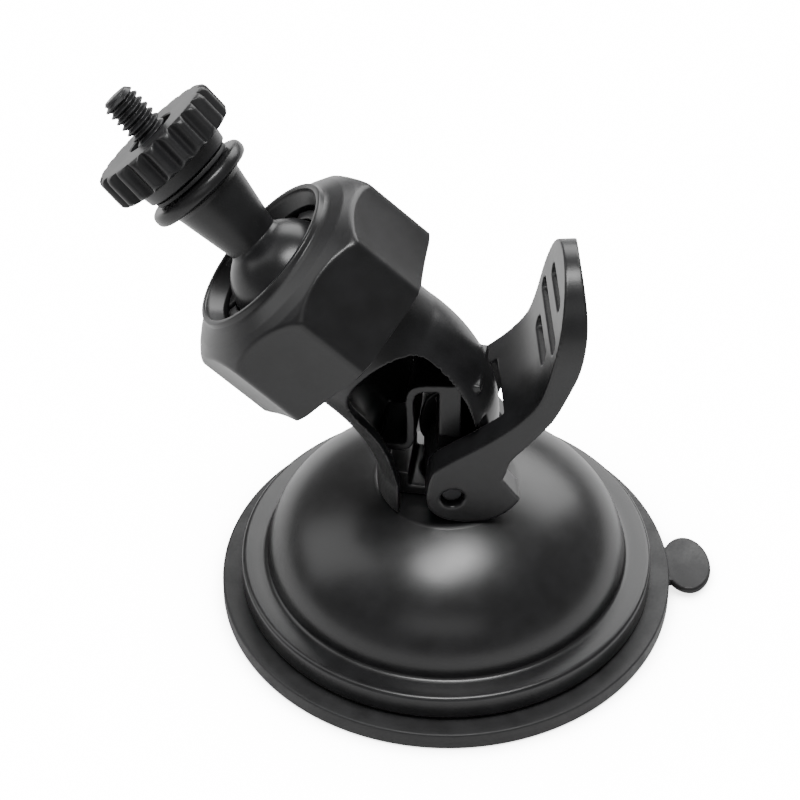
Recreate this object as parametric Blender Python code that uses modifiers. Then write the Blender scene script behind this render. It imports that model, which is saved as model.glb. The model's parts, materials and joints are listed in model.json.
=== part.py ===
"""Suction-cup mount for a dash camera: lever-locked suction base, curved hollow
arm, clamp nut, ball joint and a 1/4 inch camera screw with a thumbwheel.

Frame: metres, +Z up.  Origin at the centre of the suction pad's underside, on
the surface it stands on.  The arm leans in the XZ plane, towards -X; the lever
is on the +X side, turned LEVER_TURN about Z.
"""
import math
import bpy
import bmesh
from mathutils import Matrix, Vector

MM = 0.001
GAP = 0.3                     # free gap between pieces that rest on each other

# ---------------------------------------------------------------- dimensions, mm
PAD_R = 40.3                  # suction pad
PAD_T = 3.4
PAD_HUB_R = 11.5
PAD_HUB_TOP = 7.0
TAB_R = 43.8                  # pull tab: distance of its centre from the axis
TAB_AZ = 12.0                 # deg
TAB_HALF = (4.4, 6.8, 0.75)   # radial, tangential, half thickness
TAB_Z = 1.3

FOOT_R = 8.6                  # moulded foot of the stem, inside the pad's hub
FOOT_Z = (2.5, 4.6)
STEM_R = 4.0
PIVOT_Z = 32.6                # lever pin, lever up
STEM_EYE_TOP = 4.2            # above the pin
TONGUE = (1.9, 3.5, 10.2)     # half width, half thickness, top above the pin
PIN_R = 1.9
PIN_HALF = 10.6
PIN_HOLE_R = 2.05

RING_R = 36.7                 # rim of the dome housing
RING_Z = (3.7, 8.6)
DOME_R = 32.0
DOME_TOP = 28.0               # where the dome would close
DOME_EXP = 2.0                # superellipse exponent of the dome
PLATFORM_Z = 26.5             # flat top, on which the lever's cams bear
DOME_WALL = 2.2
BORE_R = 4.25
SLEEVE_R = 6.8
SLEEVE_Z = 12.5

LEVER_TURN = 11.5             # deg, lever plane from the arm plane
LEVER_HALF = 12.0
CHEEK_IN = 7.0
CAM_R0 = 5.8                  # pin to cam foot, lever up
CAM_K = 4.6                   # lift per radian
CAM_DEG = 60.0                # lever travel
PADDLE_ROUND = (29.6, 14.5)   # height above the pin where the end starts to round, and its height
SLOT_W = 2.5

LEAN = 47.0                   # deg from vertical, nut and socket axis
NUT_POS = (-17.3, 0.0, 60.0)  # centre of the nut's lower face
NUT_R = 21.1                  # across corners / 2
NUT_FLATS = 15.4              # length of the flats at the corners
NUT_TOP = 20.2
NUT_PHASE = 24.0              # deg, first corner
NUT_BORE = 13.25
LIP_R = (13.6, 15.2)

ARM_X = -2.1                  # arm's centre line above the dome
ARM_BEND_Z = 32.8
ARM_TANGENT = 13.0            # length of the bend's tangents
ARM_FOOT = (9.4, 10.2, 12.5)    # outer half widths: lever side, far side, sideways
ARM_MID = (13.2, 12.3, 12.8)
ARM_NECK = 12.95
ARM_WALL = 2.0
ARM_Z0 = PLATFORM_Z + GAP
WIN_RIGHT = 2.9               # window edge, in from the arm's lever side
WIN_LEFT = (5.2, 6.6)         # and from the other side: at the foot, above
WIN_CAP = (7.0, 7.0)          # window's arch: height, and the rise of its curve
WIN_BELOW = (4.0, 26.0)       # top of the arch below the nut, on the -Y side and on the +Y side
WEB_HALF = 5.5                # half width of the web inside the arm
WEB_T = 1.5

BALL_S = 13.35                # ball centre above the nut's lower face
BALL_R = 10.0
STUD_DIR = (-0.705, 0.188, 0.684)
NECK = ((8.7, 4.65), (19.8, 6.65))      # (distance from ball centre, radius)
FLANGE = (20.9, 23.5, 9.7)
WASHER = (23.8, 24.6, 7.6)
HUB = (24.9, 27.8, 8.3)
WHEEL = (27.6, 34.0, 12.1)
WHEEL_LOBES = 21
SCREW_R = 3.1
SCREW_TIP = 42.4
SCREW_ROOT = 12.5


# ---------------------------------------------------------------- scene
for ob in list(bpy.data.objects):
    bpy.data.objects.remove(ob, do_unlink=True)

parts = bpy.data.collections.new("dash_camera_mount")
tools = bpy.data.collections.new("cutters")
bpy.context.scene.collection.children.link(parts)
bpy.context.scene.collection.children.link(tools)


def material(name, colour, rough, metal=0.0):
    m = bpy.data.materials.new(name)
    m.use_nodes = True
    b = m.node_tree.nodes["Principled BSDF"]
    b.inputs["Base Color"].default_value = (*colour, 1.0)
    b.inputs["Roughness"].default_value = rough
    b.inputs["Metallic"].default_value = metal
    return m


BLACK = (0.012, 0.012, 0.013)


def frame(pos, direction=None, turn=None):
    """Placement in metres: local Z along direction, or a turn in degrees about Z."""
    m = Matrix.Translation(Vector(pos) * MM)
    if direction is not None:
        m = m @ Vector(direction).normalized().to_track_quat('Z', 'Y').to_matrix().to_4x4()
    if turn is not None:
        m = m @ Matrix.Rotation(math.radians(turn), 4, 'Z')
    return m


NUT_FRAME = Matrix.Translation(Vector(NUT_POS) * MM) @ Matrix.Rotation(-math.radians(LEAN), 4, 'Y')
BALL_POS = (NUT_FRAME @ Vector((0, 0, BALL_S * MM))) / MM
STUD_FRAME = frame(BALL_POS, STUD_DIR)
LEVER_FRAME = frame((0, 0, PIVOT_Z), turn=LEVER_TURN)
WORLD = Matrix.Identity(4)


def add(name, mesh, mat, place=WORLD, where=parts, smooth=True, angle=32):
    ob = bpy.data.objects.new(name, mesh)
    where.objects.link(ob)
    ob.matrix_world = place
    if mat:
        mesh.materials.append(mat)
    if smooth:
        mesh.shade_smooth()
        mesh.set_sharp_from_angle(angle=math.radians(angle))
    return ob


def cutter(ob):
    ob.hide_render = True
    ob.display_type = 'WIRE'
    return ob


def boolean(ob, tool, op='DIFFERENCE'):
    m = ob.modifiers.new(op.lower(), 'BOOLEAN')
    m.operation = op
    m.solver = 'EXACT'
    m.object = tool
    return m


def baked(ob):
    """Mesh of an object with its modifiers applied, welded."""
    dg = bpy.context.evaluated_depsgraph_get()
    dg.update()
    me = bpy.data.meshes.new_from_object(ob.evaluated_get(dg))
    bm = bmesh.new()
    bm.from_mesh(me)
    bmesh.ops.remove_doubles(bm, verts=bm.verts, dist=1e-6)
    bm.to_mesh(me)
    bm.free()
    return me


def turned(name, profile, mat, place=WORLD, steps=48, where=parts):
    """Solid of revolution about local Z; profile of (r, z) in mm, top to bottom on the outside."""
    me = bpy.data.meshes.new(name)
    closed = profile[0][0] > 0
    verts = [(r * MM, 0, z * MM) for r, z in profile]
    n = len(verts)
    edges = [(i, i + 1) for i in range(n - 1)] + ([(n - 1, 0)] if closed else [])
    me.from_pydata(verts, edges, [])
    ob = bpy.data.objects.new(name + "_turn", me)
    tools.objects.link(ob)
    s = ob.modifiers.new("turn", 'SCREW')
    s.steps = s.render_steps = steps
    s.use_merge_vertices = True
    s.merge_threshold = 1e-6
    s.use_smooth_shade = False
    mesh = baked(ob)
    bm = bmesh.new()
    bm.from_mesh(mesh)
    bmesh.ops.recalc_face_normals(bm, faces=bm.faces)
    bm.to_mesh(mesh)
    bm.free()
    mesh.name = name
    bpy.data.objects.remove(ob, do_unlink=True)
    return add(name, mesh, mat, place, where)


def prism(name, outline, lo, hi, mat, place=WORLD, where=parts, axis='Z'):
    """Flat outline (mm) extruded from lo to hi along local Z, or along Y with the outline in XZ,
    or along X with the outline in YZ."""
    cu = bpy.data.curves.new(name, 'CURVE')
    cu.dimensions = '2D'
    cu.fill_mode = 'BOTH'
    cu.extrude = (hi - lo) / 2 * MM
    sp = cu.splines.new('POLY')
    sp.points.add(len(outline) - 1)
    for p, (u, v) in zip(sp.points, outline):
        p.co = (u * MM, v * MM, 0, 1)
    sp.use_cyclic_u = True
    tmp = bpy.data.objects.new(name + "_flat", cu)
    tools.objects.link(tmp)
    me = baked(tmp)
    bpy.data.objects.remove(tmp, do_unlink=True)
    mid = (hi + lo) / 2 * MM
    if axis == 'Z':
        m = Matrix.Translation((0, 0, mid))
    elif axis == 'Y':        # outline's (u, v) becomes (x, z)
        m = Matrix(((1, 0, 0, 0), (0, 0, -1, mid), (0, 1, 0, 0), (0, 0, 0, 1)))
    else:                    # outline's (u, v) becomes (y, z)
        m = Matrix(((0, 0, 1, mid), (1, 0, 0, 0), (0, 1, 0, 0), (0, 0, 0, 1)))
    me.transform(m)
    bm = bmesh.new()
    bm.from_mesh(me)
    bmesh.ops.recalc_face_normals(bm, faces=bm.faces)
    bm.to_mesh(me)
    bm.free()
    return add(name, me, mat, place, where, angle=25)


def block(name, lo, hi, place=WORLD):
    """Box cutter between two corners in mm."""
    me = bpy.data.meshes.new(name)
    bm = bmesh.new()
    bmesh.ops.create_cube(bm, size=1.0)
    size = [(h - l) * MM for l, h in zip(lo, hi)]
    mid = [(h + l) / 2 * MM for l, h in zip(lo, hi)]
    bmesh.ops.scale(bm, vec=size, verts=bm.verts)
    bmesh.ops.translate(bm, vec=mid, verts=bm.verts)
    bm.to_mesh(me)
    bm.free()
    return cutter(add(name, me, None, place, tools, smooth=False))


def rod(name, r, lo, hi, mat=None, place=WORLD, where=tools, steps=32, chamfer=0.0):
    """Cylinder about local Z, with an optional chamfer at both ends."""
    p = [(0, hi)]
    if chamfer:
        p += [(r - chamfer, hi), (r, hi - chamfer), (r, lo + chamfer), (r - chamfer, lo)]
    else:
        p += [(r, hi), (r, lo)]
    p += [(0, lo)]
    ob = turned(name, p, mat, place, steps, where)
    return cutter(ob) if where is tools else ob


def finish(ob):
    """Applies the object's Booleans, so that the next piece can build on the result."""
    me = baked(ob)
    mats = [s.material for s in ob.material_slots]
    ob.modifiers.clear()
    ob.data = me
    if not me.materials:
        for m in mats:
            me.materials.append(m)
    me.shade_smooth()
    me.set_sharp_from_angle(angle=math.radians(32))
    return ob


def smooth_loop(points, steps=4):
    """Catmull-Rom through a closed loop of control points."""
    out = []
    n = len(points)
    for i in range(n):
        p0, p1, p2, p3 = (points[(i + k - 1) % n] for k in range(4))
        for j in range(steps):
            t = j / steps
            out.append(tuple(
                0.5 * (2 * p1[a] + (p2[a] - p0[a]) * t
                       + (2 * p0[a] - 5 * p1[a] + 4 * p2[a] - p3[a]) * t ** 2
                       + (3 * p1[a] - p0[a] - 3 * p2[a] + p3[a]) * t ** 3) for a in (0, 1)))
    return out


def smooth_path(points, steps=4):
    """Catmull-Rom through an open row of control points."""
    pts = [points[0]] + list(points) + [points[-1]]
    out = []
    for i in range(1, len(pts) - 2):
        p0, p1, p2, p3 = pts[i - 1:i + 3]
        for j in range(steps):
            t = j / steps
            out.append(tuple(
                0.5 * (2 * p1[a] + (p2[a] - p0[a]) * t
                       + (2 * p0[a] - 5 * p1[a] + 4 * p2[a] - p3[a]) * t ** 2
                       + (3 * p1[a] - p0[a] - 3 * p2[a] + p3[a]) * t ** 3) for a in (0, 1)))
    out.append(tuple(points[-1]))
    return out


def thick_path(points, t):
    """Outline of a strip of thickness t about an open row of points."""
    left, right = [], []
    for i, (x, y) in enumerate(points):
        a = points[max(i - 1, 0)]
        b = points[min(i + 1, len(points) - 1)]
        d = math.hypot(b[0] - a[0], b[1] - a[1])
        nx, ny = -(b[1] - a[1]) / d * t / 2, (b[0] - a[0]) / d * t / 2
        left.append((x + nx, y + ny))
        right.append((x - nx, y - ny))
    return left + right[::-1]


# ---------------------------------------------------------------- suction pad
rubber = material("pad_rubber", (0.016, 0.016, 0.017), 0.55)
pad = turned("suction_pad", [
    (0, FOOT_Z[0] - GAP), (FOOT_R + GAP, FOOT_Z[0] - GAP), (FOOT_R + GAP, FOOT_Z[1] + GAP),
    (STEM_R + 0.5, FOOT_Z[1] + GAP), (STEM_R + 0.5, PAD_HUB_TOP), (PAD_HUB_R - 1, PAD_HUB_TOP),
    (PAD_HUB_R, PAD_HUB_TOP - 1), (PAD_HUB_R + 1.6, PAD_T + 0.1), (PAD_HUB_R + 3, PAD_T - 0.4),
    (RING_R - 6, PAD_T - 0.2), (RING_R - 3, PAD_T), (PAD_R - 0.5, PAD_T),
    (PAD_R - 0.1, PAD_T - 0.2), (PAD_R, PAD_T - 0.6), (PAD_R, 0.5), (PAD_R - 0.15, 0.15), (PAD_R - 0.5, 0), (0, 0)],
    rubber, steps=64)
tab_frame = frame((0, 0, 0), turn=TAB_AZ)
tab_n = 40
tab_loop = [(TAB_R + TAB_HALF[0] * math.cos(2 * math.pi * i / tab_n),
             TAB_HALF[1] * math.sin(2 * math.pi * i / tab_n)) for i in range(tab_n)]
tab = prism("tab_tool", tab_loop, TAB_Z - TAB_HALF[2], TAB_Z + TAB_HALF[2], None, tab_frame, tools)
neck = block("tab_neck_tool", (PAD_R - 3, -4.4, TAB_Z - TAB_HALF[2]), (PAD_R + 1.3, 4.4, TAB_Z + TAB_HALF[2]), tab_frame)
cutter(tab)
boolean(pad, neck, 'UNION')
boolean(pad, tab, 'UNION')
finish(pad)

# ---------------------------------------------------------------- stem, pin
nylon = material("stem_nylon", (0.02, 0.02, 0.022), 0.45)
stem = turned("pull_stem", [
    (0, PIVOT_Z + 0.6), (STEM_R - 0.1, PIVOT_Z + 0.6), (STEM_R, PIVOT_Z), (STEM_R, FOOT_Z[1]), (FOOT_R - 0.4, FOOT_Z[1]),
    (FOOT_R, FOOT_Z[1] - 0.4), (FOOT_R, FOOT_Z[0] + 0.4), (FOOT_R - 0.4, FOOT_Z[0]), (0, FOOT_Z[0])],
    nylon, frame((0, 0, 0), turn=LEVER_TURN), steps=48)
eye_n = 24
eye_loop = [(STEM_R * 0.97, -3.1)] + [
    (STEM_R * 0.97 * math.cos(math.pi * i / eye_n), (STEM_EYE_TOP - 0.6) * math.sin(math.pi * i / eye_n) + 0.6)
    for i in range(eye_n + 1)] + [(-STEM_R * 0.97, -3.1)]
eye = cutter(prism("eye_tool", eye_loop, -TONGUE[1], TONGUE[1], None, LEVER_FRAME, tools, 'Y'))
tongue = block("tongue_tool", (-TONGUE[0], -TONGUE[1] + 0.3, 0.5), (TONGUE[0], TONGUE[1] - 0.3, TONGUE[2]), LEVER_FRAME)
Y_TURN = Matrix.Rotation(math.radians(-90), 4, 'X')
boolean(stem, eye, 'UNION')
boolean(stem, tongue, 'UNION')
boolean(stem, rod("eye_hole_tool", PIN_HOLE_R, -9, 9, place=LEVER_FRAME @ Y_TURN))
finish(stem)

steel = material("pin_steel", (0.30, 0.30, 0.31), 0.35, 1.0)
pin = rod("lever_pin", PIN_R, -PIN_HALF, PIN_HALF, steel, LEVER_FRAME @ Y_TURN, parts, 32, 0.25)


# ---------------------------------------------------------------- dome housing
def dome_curve(r0, top, z_lo, z_hi, n):
    """Points (r, z) up the superellipse dome of base radius r0 and closing height top."""
    out = []
    for i in range(n + 1):
        z = z_lo + (z_hi - z_lo) * math.sin(math.pi / 2 * i / n)
        h = (z - RING_Z[1]) / (top - RING_Z[1])
        out.append((r0 * max(0.0, 1 - max(h, 0.0) ** DOME_EXP) ** (1 / DOME_EXP), z))
    return out


abs_black = material("dome_abs", BLACK, 0.30)
outer = dome_curve(DOME_R, DOME_TOP, RING_Z[1], PLATFORM_Z - 0.25, 12)
inner = dome_curve(DOME_R - DOME_WALL, DOME_TOP - DOME_WALL, RING_Z[1] - 2.2, PLATFORM_Z - DOME_WALL, 8)
platform_r = outer[-1][0] - 0.5
dome_profile = ([(BORE_R, PLATFORM_Z), (platform_r, PLATFORM_Z)] + outer[::-1]
                + [(RING_R - 0.7, RING_Z[1]), (RING_R, RING_Z[1] - 0.7), (RING_R, RING_Z[0]),
                   (RING_R - 2.6, RING_Z[0]), (RING_R - 2.6, RING_Z[1] - 2.2)] + inner
                + [(SLEEVE_R, PLATFORM_Z - DOME_WALL), (SLEEVE_R, SLEEVE_Z), (BORE_R, SLEEVE_Z)])
dome = turned("dome_housing", dome_profile, abs_black, steps=60)

# ---------------------------------------------------------------- arm
sinL, cosL = math.sin(math.radians(LEAN)), math.cos(math.radians(LEAN))
bend_r = ARM_TANGENT / math.tan(math.radians(LEAN) / 2)


def blend3(a, b, c, u):
    """Smooth curve through a, b and c at u = 0, 0.5 and 1, flat at u = 0."""
    if u <= 0:
        return a
    if u >= 1:
        return c
    return a * (1 - u) * (1 - 2 * u) + b * 4 * u * (1 - u) + c * u * (2 * u - 1)


def station(s):
    """Centre, in-plane normal (towards the lever side), half widths at s mm along the arm.
    s = 0 at the foot."""
    up = ARM_BEND_Z - ARM_Z0
    arc = bend_r * math.radians(LEAN)
    if s <= up:
        return (ARM_X, ARM_Z0 + s), (1.0, 0.0), ARM_FOOT
    if s <= up + arc:
        a = (s - up) / bend_r
        c = (ARM_X - bend_r * (1 - math.cos(a)), ARM_BEND_Z + bend_r * math.sin(a))
        u = a / math.radians(LEAN)
        w = tuple(blend3(ARM_FOOT[k], ARM_MID[k], ARM_NECK, u) for k in range(3))
        return c, (math.cos(a), math.sin(a)), w
    d = s - up - arc
    c = (ARM_X - bend_r * (1 - cosL) - sinL * d, ARM_BEND_Z + bend_r * sinL + cosL * d)
    return c, (cosL, sinL), (ARM_NECK,) * 3


up_len = ARM_BEND_Z - ARM_Z0
arc_len = bend_r * math.radians(LEAN)
end_c = station(up_len + arc_len)[0]
line_len = math.hypot(NUT_POS[0] - end_c[0], NUT_POS[2] - end_c[1])
S_NUT = up_len + arc_len + line_len          # station of the nut's lower face


def loft(name, s_list, inset, mat, where):
    """Tube-like solid through the arm's sections, drawn in by inset."""
    ring_n = 36
    me = bpy.data.meshes.new(name)
    bm = bmesh.new()
    rings = []
    for s in s_list:
        c, w, (ar, al, b) = station(s)
        ring = []
        for k in range(ring_n):
            t = 2 * math.pi * k / ring_n
            u = (ar if math.cos(t) > 0 else al) - inset
            du = u * math.cos(t)
            ring.append(bm.verts.new(((c[0] + w[0] * du) * MM, (b - inset) * math.sin(t) * MM, (c[1] + w[1] * du) * MM)))
        rings.append(ring)
    for a, b in zip(rings, rings[1:]):
        for k in range(ring_n):
            bm.faces.new((a[k], a[(k + 1) % ring_n], b[(k + 1) % ring_n], b[k]))
    bm.faces.new(rings[0][::-1])
    bm.faces.new(rings[-1])
    bmesh.ops.recalc_face_normals(bm, faces=bm.faces)
    bm.to_mesh(me)
    bm.free()
    return add(name, me, mat, WORLD, where)


abs_arm = material("arm_abs", BLACK, 0.32)
n_st = 9
s_outer = [0, up_len * 0.5] + [up_len + arc_len * i / n_st for i in range(n_st + 1)] + [S_NUT - 2.0]
arm = loft("arm", s_outer, 0.0, abs_arm, parts)
core_sections = [-4.0, 0.0] + [up_len + arc_len * i / n_st for i in range(n_st + 1)] + [S_NUT - 1.2]
core = cutter(loft("arm_core_tool", core_sections, ARM_WALL, None, tools))

# neck in the nut's frame: thread root, then the split socket round the ball
socket = ([(NECK_R, z) for NECK_R, z in ((ARM_NECK, -2.4), (ARM_NECK, -0.6), (12.85, -0.4), (12.85, 9.5), (11.75, 16.6), (11.3, 17.0))][::-1])
ball_gap = BALL_R + 0.2
cup = []
for i in range(8):
    z = 16.95 - (16.95 - 8.0) * i / 7
    cup.append((math.sqrt(ball_gap ** 2 - (z - BALL_S) ** 2), z))
neck_profile = ([(0, 1.0), (ball_gap - 1.0, 1.0), (ball_gap - 1.0, 7.6)] + cup[::-1] + socket + [(0, -2.4)])
# the profile above runs from the axis out; its outer side is the neck's wall
arm_neck = cutter(turned("arm_neck_tool", neck_profile, None, NUT_FRAME, 40, tools))


def window_outline(below):
    """Window in the arm's side, in XZ: up one edge, over the arch that ends below the nut, down the other."""
    def point(s, n):
        c, w, _ = station(s)
        return (c[0] + w[0] * n, c[1] + w[1] * n)

    def left(s):
        u = min(max((s - up_len) / (arc_len * 0.6), 0), 1)
        return -station(s)[2][1] + WIN_LEFT[0] + (WIN_LEFT[1] - WIN_LEFT[0]) * u * u * (3 - 2 * u)

    def right(s):
        return station(s)[2][0] - WIN_RIGHT
    s1 = S_NUT - below - WIN_CAP[0]
    n = 14
    out = [point(-3.0, left(0))]
    out += [point(s1 * i / n, left(s1 * i / n)) for i in range(1, n + 1)]
    mid, half = (left(s1) + right(s1)) / 2, (right(s1) - left(s1)) / 2
    for i in range(1, 16):
        t = math.pi - math.pi * i / 16
        out.append(point(s1 + WIN_CAP[1] * math.sin(t), mid + half * math.cos(t)))
    out += [point(s1 * i / n, right(s1 * i / n)) for i in range(n, 0, -1)]
    out.append(point(-3.0, right(0)))
    return out


windows = [cutter(prism("window_tool_%d" % i, window_outline(WIN_BELOW[i]), lo, hi, None, WORLD, tools, 'Y'))
           for i, (lo, hi) in enumerate(((-20, 1.0), (0.5, 20)))]

# room for the lever's cheeks beside the leg on the lever side
CHEEK_ROOM = ((-5.2, -8), (17, -8), (17, 26), (15.0, 23.2), (12.2, 19.6), (8.8, 16.4), (4.5, 13.7), (0.8, 12.7), (-2.0, 12.0), (-5.2, 11.7))
cheek_room = [cutter(prism("cheek_room_tool_%d" % i, CHEEK_ROOM, lo, hi, None, LEVER_FRAME, tools, 'Y'))
              for i, (lo, hi) in enumerate(((CHEEK_IN - 0.45, 16), (-16, -CHEEK_IN + 0.45)))]

# web inside the arm: a stepped strip from leg to leg, two guide bars for the stem's tongue,
# and the foot band that the screws go into
step_path = [(ARM_X - ARM_FOOT[1] + 0.9, 37.4), (-7.6, 37.6), (-6.2, 38.6), (-5.8, 40.6), (-6.0, 46.6), (-5.9, 49.2),
             (-5.0, 50.9), (-2.9, 51.6), (2.0, 52.1), (6.2, 52.8)]
web = cutter(prism("web_tool", thick_path(smooth_path(step_path, 3), WEB_T), -WEB_HALF, WEB_HALF, None, WORLD, tools, 'Y'))
GUIDE_IN = 4.25
guides = [block("guide_tool_%d" % i, (-1.0, lo, 41.3), (2.9, hi, 51.9))
          for i, (lo, hi) in enumerate(((-WEB_HALF, -GUIDE_IN), (GUIDE_IN, WEB_HALF)))]
band = block("band_tool", (ARM_X - ARM_FOOT[1] + 1.0, -WEB_HALF, ARM_Z0), (ARM_X + ARM_FOOT[0] - 1.0, WEB_HALF, ARM_Z0 + 2.0))
boss = block("boss_tool", (ARM_X - ARM_FOOT[1] + 1.0, -WEB_HALF, ARM_Z0), (-6.0, WEB_HALF, ARM_Z0 + 5.0))
band_hole = rod("band_hole_tool", STEM_R + 0.45, 20, 31, steps=32)

boolean(arm, core)
boolean(arm, arm_neck, 'UNION')
for t in windows:
    boolean(arm, t)
for t in cheek_room:
    boolean(arm, t)
boolean(arm, web, 'UNION')
for t in guides:
    boolean(arm, t, 'UNION')
boolean(arm, band, 'UNION')
boolean(arm, boss, 'UNION')
boolean(arm, band_hole)
SLITS = 6
for i in range(SLITS):
    turn = Matrix.Rotation(math.radians(360.0 / SLITS * i + 15.0), 4, 'Z')
    boolean(arm, block("slit_tool_%d" % i, (6.5, -0.8, 7.8), (15, 0.8, 20), NUT_FRAME @ turn))
SCREW_AT = ((-8.6, -3.1), (-8.6, 3.1))
for i, (x, y) in enumerate(SCREW_AT):
    at = frame((x, y, 0))
    boolean(arm, rod("arm_screw_hole_tool_%d" % i, 1.15, 24, ARM_Z0 + 4.2, place=at, steps=20))
    boolean(dome, rod("dome_screw_hole_tool_%d" % i, 1.45, 20, 30, place=at, steps=20))
finish(arm)
finish(dome)

zinc = material("screw_zinc", (0.55, 0.55, 0.53), 0.35, 1.0)
for i, (x, y) in enumerate(SCREW_AT):
    turned("arm_screw_%s" % "ab"[i], [
        (0, ARM_Z0 + 3.9), (0.8, ARM_Z0 + 3.9), (1.05, ARM_Z0 + 3.5), (1.05, PLATFORM_Z - DOME_WALL - GAP),
        (2.2, PLATFORM_Z - DOME_WALL - GAP), (2.2, PLATFORM_Z - DOME_WALL - 1.2), (1.7, PLATFORM_Z - DOME_WALL - 1.9),
        (0, PLATFORM_Z - DOME_WALL - 1.9)], zinc, frame((x, y, 0)), 20)

# ---------------------------------------------------------------- seat behind the ball
seat_mat = material("seat_acetal", (0.03, 0.03, 0.032), 0.5)
seat_gap = BALL_R + 0.25
seat_top = 5.8
dish = []
for i in range(7):
    r = math.sqrt(seat_gap ** 2 - (BALL_S - seat_top) ** 2) * (1 - i / 6)
    dish.append((r, BALL_S - math.sqrt(seat_gap ** 2 - r ** 2)))
turned("ball_seat", [(0, dish[-1][1])] + dish[-2::-1] + [(8.6, seat_top), (8.9, seat_top - 0.4), (8.9, 1.3), (0, 1.3)],
       seat_mat, NUT_FRAME, 40)

# ---------------------------------------------------------------- clamp nut
def nut_outline():
    """Octagon with rounded corners and slightly hollow flats."""
    out = []
    r_c = 1.6
    for k in range(8):
        a = math.radians(NUT_PHASE + 45 * k)
        cx, cy = (NUT_R - r_c) * math.cos(a), (NUT_R - r_c) * math.sin(a)
        for j in range(5):
            b = a + math.radians(-22.5 + 45 * j / 4)
            out.append((cx + r_c * math.cos(b), cy + r_c * math.sin(b)))
        # hollow of the next flat
        apothem = (NUT_R - r_c) * math.cos(math.radians(22.5)) + r_c
        n = a + math.radians(22.5)
        half = (NUT_R - r_c) * math.sin(math.radians(22.5))
        for j in range(1, 6):
            t = -1 + 2 * j / 6
            d = apothem - 0.35 * (1 - t * t)
            out.append((d * math.cos(n) - half * t * math.sin(n) * 1.0, d * math.sin(n) + half * t * math.cos(n)))
    return out


nut_mat = material("nut_abs", BLACK, 0.30)
nut = prism("clamp_nut", nut_outline(), 0, NUT_TOP + 2, nut_mat, NUT_FRAME, parts)
SHOULDER = ((22.6, 12.0), (21.1, 14.3), (20.3, 15.4), (19.3, 16.4), (17.6, 17.6), (15.7, 18.6))   # domed chamfer over the corners
nut_shape = cutter(turned("nut_shape_tool", [
    (LIP_R[0] + 0.2, NUT_TOP), (LIP_R[1] - 0.5, NUT_TOP), (LIP_R[1], NUT_TOP - 0.5), (LIP_R[1] + 0.1, NUT_TOP - 0.85)]
    + list(SHOULDER[::-1]) + [(22.6, 0.5), (21.3, 0), (NUT_BORE + 0.7, 0), (NUT_BORE, 0.7), (NUT_BORE, 10.0),
    (12.15, 16.6), (12.15, 17.4), (LIP_R[0], NUT_TOP - 0.35)], None, NUT_FRAME, 56, tools))
boolean(nut, nut_shape, 'INTERSECT')
finish(nut)

# ---------------------------------------------------------------- ball stud, screw, washer, wheel
stud_mat = material("stud_abs", BLACK, 0.28)
profile = []
ball_n = 15
a0 = math.asin(NECK[0][1] / BALL_R)
for i in range(ball_n + 1):
    a = a0 + (math.pi - a0) * i / ball_n
    profile.append((BALL_R * math.sin(a), BALL_R * math.cos(a)))
profile[-1] = (0, -BALL_R)
stud_profile = ([(0, SCREW_ROOT), (SCREW_R + 0.15, SCREW_ROOT), (SCREW_R + 0.15, FLANGE[1]),
                 (FLANGE[2] - 1.1, FLANGE[1]), (FLANGE[2] - 0.35, FLANGE[1] - 0.35), (FLANGE[2], FLANGE[1] - 1.1),
                 (FLANGE[2], FLANGE[0] + 1.1), (FLANGE[2] - 0.35, FLANGE[0] + 0.35), (FLANGE[2] - 1.1, FLANGE[0] - 0.05),
                 (NECK[1][1] + 0.5, NECK[1][0] + 0.75), NECK[1][::-1]] + profile)
turned("ball_stud", stud_profile, stud_mat, STUD_FRAME, 40)

screw_mat = material("screw_steel_black", (0.03, 0.03, 0.03), 0.35, 0.6)
turned("tripod_screw", [(0, SCREW_TIP), (SCREW_R - 0.75, SCREW_TIP), (SCREW_R, SCREW_TIP - 0.75),
                        (SCREW_R, SCREW_ROOT + GAP), (0, SCREW_ROOT + GAP)], screw_mat, STUD_FRAME, 32)

washer_mat = material("washer_nylon", (0.015, 0.015, 0.016), 0.6)
turned("wheel_washer", [(SCREW_R + 0.3, WASHER[1]), (WASHER[2], WASHER[1]), (WASHER[2], WASHER[0]),
                        (SCREW_R + 0.3, WASHER[0])], washer_mat, STUD_FRAME, 40)


def wheel_outline():
    """Scalloped rim: round lobes with round valleys."""
    out = []
    for k in range(WHEEL_LOBES):
        for j in range(6):
            u = (k + j / 6) / WHEEL_LOBES * 2 * math.pi
            c = math.cos(WHEEL_LOBES * u)
            d = WHEEL[2] - 0.55 + 0.55 * math.copysign(abs(c) ** 0.7, c)
            out.append((d * math.cos(u), d * math.sin(u)))
    return out


wheel_mat = material("wheel_abs", BLACK, 0.33)
wheel = prism("thumbwheel", wheel_outline(), WHEEL[0] - 1, WHEEL[1] + 1, wheel_mat, STUD_FRAME, parts)
wheel_shape = cutter(turned("wheel_shape_tool", [
    (0, WHEEL[1]), (WHEEL[2] - 0.9, WHEEL[1]), (WHEEL[2] + 0.4, WHEEL[1] - 1.1), (WHEEL[2] + 0.4, WHEEL[0] + 1.2),
    (WHEEL[2] - 1.0, WHEEL[0] - 0.05), (0, WHEEL[0] - 0.05)], None, STUD_FRAME, 40, tools))
boolean(wheel, wheel_shape, 'INTERSECT')
boolean(wheel, rod("wheel_hub_tool", HUB[2], HUB[0], WHEEL[0] + 1.5, place=STUD_FRAME, steps=36), 'UNION')
boolean(wheel, rod("wheel_bore_tool", SCREW_R + 0.3, HUB[0] - 1, WHEEL[1] + 1, place=STUD_FRAME, steps=32))
boolean(wheel, rod("wheel_recess_tool", SCREW_R + 1.5, WHEEL[1] - 2.2, WHEEL[1] + 1, place=STUD_FRAME, steps=36))
finish(wheel)

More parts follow.
